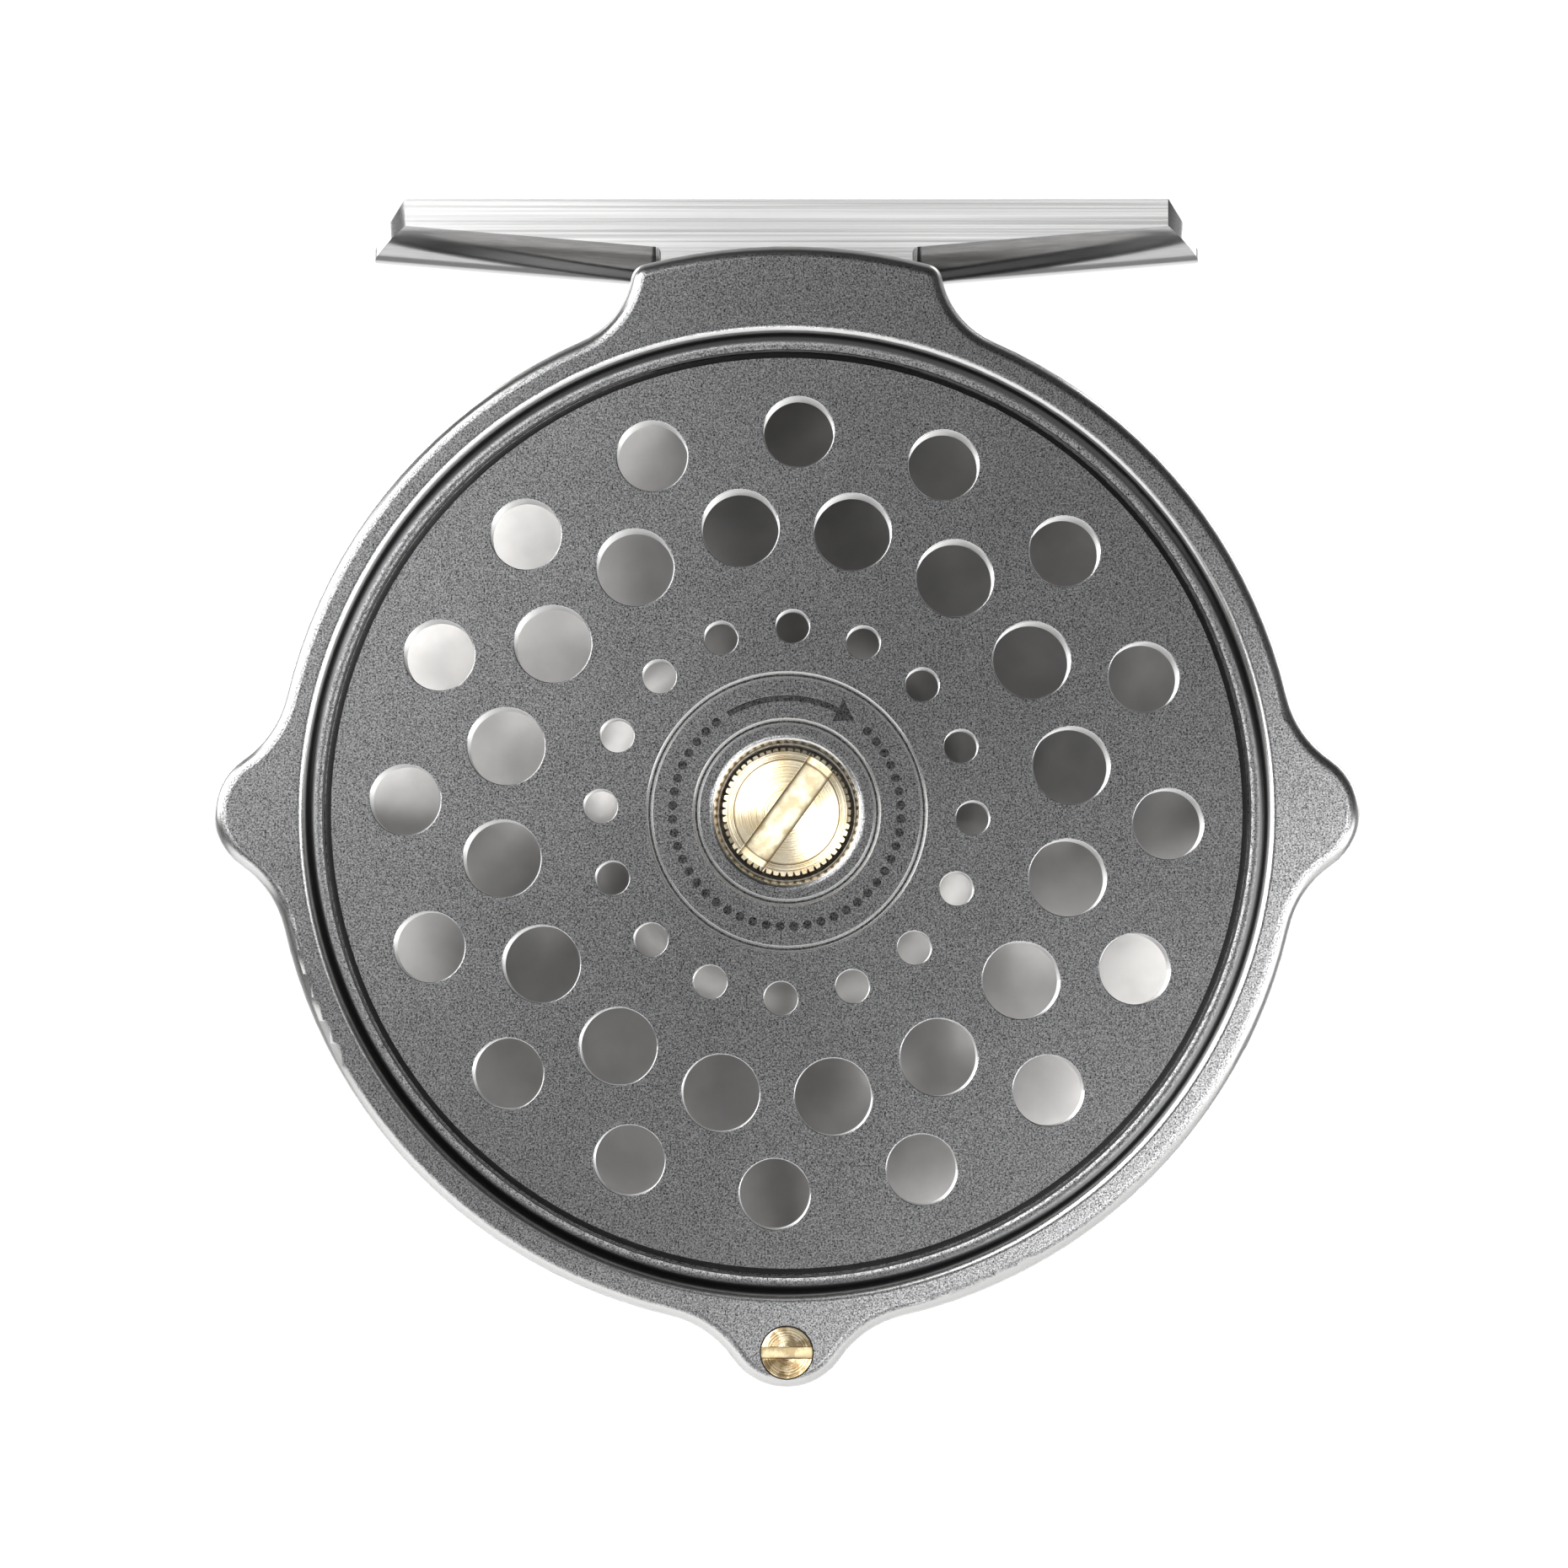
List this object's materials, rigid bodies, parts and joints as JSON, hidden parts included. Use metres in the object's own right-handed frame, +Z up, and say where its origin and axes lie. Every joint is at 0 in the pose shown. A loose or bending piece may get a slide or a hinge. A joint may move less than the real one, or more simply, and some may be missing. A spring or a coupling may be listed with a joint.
{
  "type": "fly reel",
  "caption": "Caged fly reel: perforated drum on a ball race, click check, revolving line guard, turning crank plate with a handle, and a crescent foot.",
  "frame": {"origin": "on the spool's axis, midway between the cage's two outer faces", "axes": "+Z up to the foot, +Y along the spool's axis towards the crank plate, +X along the foot"},
  "size_m": [0.0848, 0.0452, 0.089],
  "materials": {
    "dark_anodised": "fine bead-blasted and dark anodised",
    "bright_turned": "bare, fine turned",
    "foot_aluminium": "bare, milled on its sides and polished underneath",
    "brass": "bare, turned and worn",
    "nickel_silver": "turned and polished",
    "steel": "ground",
    "spring_steel": "blued",
    "ivory_resin": "polished, faintly grained"
  },
  "bodies": {
    "cage": {"front_ring": "dark_anodised", "back_plate": "dark_anodised", "pillar_left": "dark_anodised", "pillar_right": "dark_anodised", "pillar_screws": "brass", "foot_bridge": "dark_anodised", "bridge_screws": "brass", "foot": "foot_aluminium", "foot_screws": "steel", "guard_pin": "steel", "guard_screw_front": "brass", "guard_screw_back": "brass", "bearing_outer_race": "steel", "bearing_retainer": "brass", "pawl_posts": "steel", "check_spring": "spring_steel", "spare_spring": "spring_steel", "spring_posts": "steel"},
    "crank": {"handle_plate": "dark_anodised", "handle_plate_screws": "brass", "drive_spindle": "steel", "spindle_nut": "steel", "bearing_inner_race": "steel", "handle_spindle": "steel", "handle_collar": "nickel_silver", "handle_end_screw": "brass"},
    "drum": {"drum_face": "dark_anodised", "drum_core": "bright_turned", "drum_face_screws": "steel", "ratchet_wheel": "brass", "ratchet_screws": "steel"},
    "mount_screw": {"drum_screw": "brass"},
    "handle": {"handle_knob": "ivory_resin", "handle_bush": "brass"},
    "guard_sleeve": {"line_guard": "nickel_silver"},
    "working_pawl": {"check_pawl": "steel"},
    "parked_pawl": {"spare_pawl": "steel"},
    "ball_set": {"bearing_balls": "steel"}
  },
  "joints": [
    {"name": "spool_spin", "type": "hinge", "parent": "cage", "child": "crank", "pos_m": [0, 0, 0], "axis": [0, 1, 0], "continuous": true},
    {"name": "drum_lift_off", "type": "slide", "parent": "crank", "child": "drum", "axis": [0, -1, 0], "range_m": [0, 0.036]},
    {"name": "drum_screw_turn", "type": "hinge", "parent": "drum", "child": "mount_screw", "pos_m": [0, -0.015, 0], "axis": [0, 1, 0], "range_deg": [0, 1260]},
    {"name": "handle_spin", "type": "hinge", "parent": "crank", "child": "handle", "pos_m": [0, 0.016, -0.026], "axis": [0, 1, 0], "continuous": true},
    {"name": "line_guard_spin", "type": "hinge", "parent": "cage", "child": "guard_sleeve", "pos_m": [0, 0, -0.0398], "axis": [0, 1, 0], "continuous": true},
    {"name": "check_pawl_lift", "type": "hinge", "parent": "cage", "child": "working_pawl", "pos_m": [0.0105, 0.0076, 0.011], "axis": [0, 1, 0], "range_deg": [0, 12], "stiffness_Nm_per_rad": 0.02, "springref_deg": -5.73, "deforming": ["check_spring"]},
    {"name": "spare_pawl_swing", "type": "hinge", "parent": "cage", "child": "parked_pawl", "pos_m": [-0.0105, 0.0076, -0.011], "axis": [0, 1, 0], "range_deg": [-12, 0], "deforming": ["spare_spring"]},
    {"name": "bearing_orbit", "type": "hinge", "parent": "cage", "child": "ball_set", "pos_m": [0, 0.0104, 0], "axis": [0, 1, 0], "continuous": true}
  ]
}
